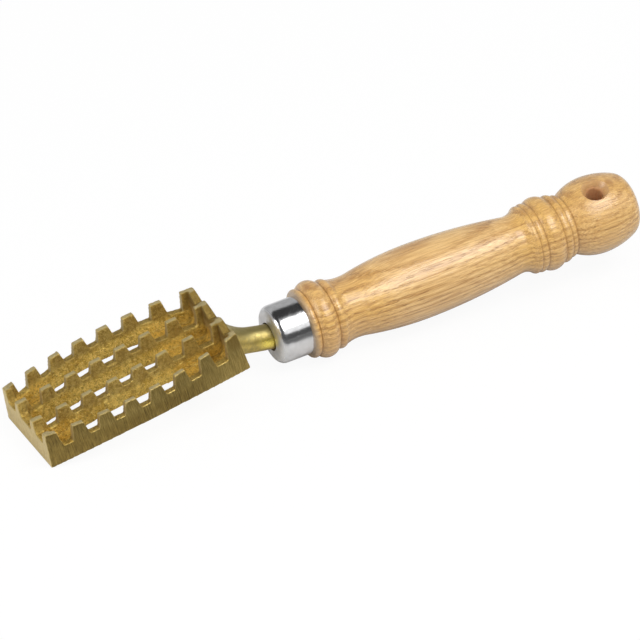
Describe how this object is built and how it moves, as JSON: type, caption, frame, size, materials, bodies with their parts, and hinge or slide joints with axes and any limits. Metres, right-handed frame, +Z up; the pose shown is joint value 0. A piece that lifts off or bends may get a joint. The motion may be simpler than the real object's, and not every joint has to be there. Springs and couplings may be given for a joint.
{
  "type": "fish scaler",
  "caption": "Hand fish scaler: a cast brass head with rows of square-topped teeth on a slotted lattice, its shank set in a chromed ferrule and a turned ash handle with a hanging hole.",
  "frame": {"origin": "middle of the space the tool takes up, on the surface it lies on", "axes": "+X along the tool from the nose of the head to the butt, +Z up, the way the teeth point, +Y across"},
  "size_m": [0.2338, 0.047, 0.0356],
  "materials": {
    "toothed_head": "as cast inside, filed on the outside",
    "ferrule": "polished",
    "handle": "lacquered ash"
  },
  "bodies": {
    "root": {"toothed_head": "toothed_head", "ferrule": "ferrule", "handle": "handle"}
  },
  "joints": []
}
